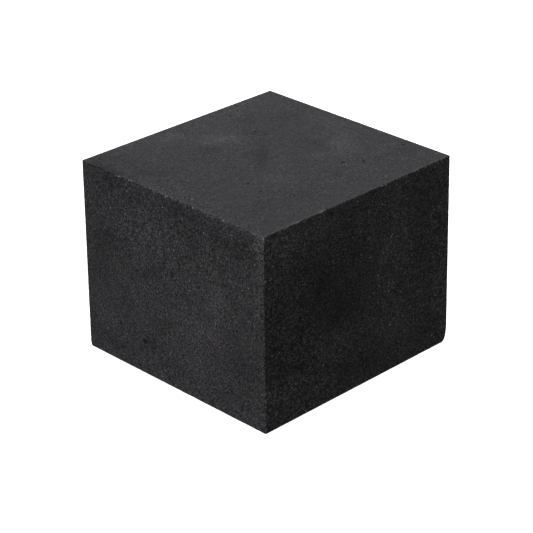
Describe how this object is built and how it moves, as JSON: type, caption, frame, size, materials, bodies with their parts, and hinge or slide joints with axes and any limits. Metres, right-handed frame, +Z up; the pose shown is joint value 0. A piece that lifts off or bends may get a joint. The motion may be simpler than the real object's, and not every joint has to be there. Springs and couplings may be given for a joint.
{
  "type": "charcoal block",
  "caption": "Squat, nearly square block of matt pressed charcoal for drawing, with lightly rubbed edges, open pores and a rounded foot corner.",
  "frame": {"origin": "centre of the flat base, on the surface that the block stands on", "axes": "+X along the longer side, +Y along the slightly shorter side, +Z up, square to the base"},
  "size_m": [0.05, 0.049, 0.0395],
  "materials": {
    "pressed_charcoal": "matte"
  },
  "bodies": {
    "root": {"charcoal_block": "pressed_charcoal"}
  },
  "joints": []
}
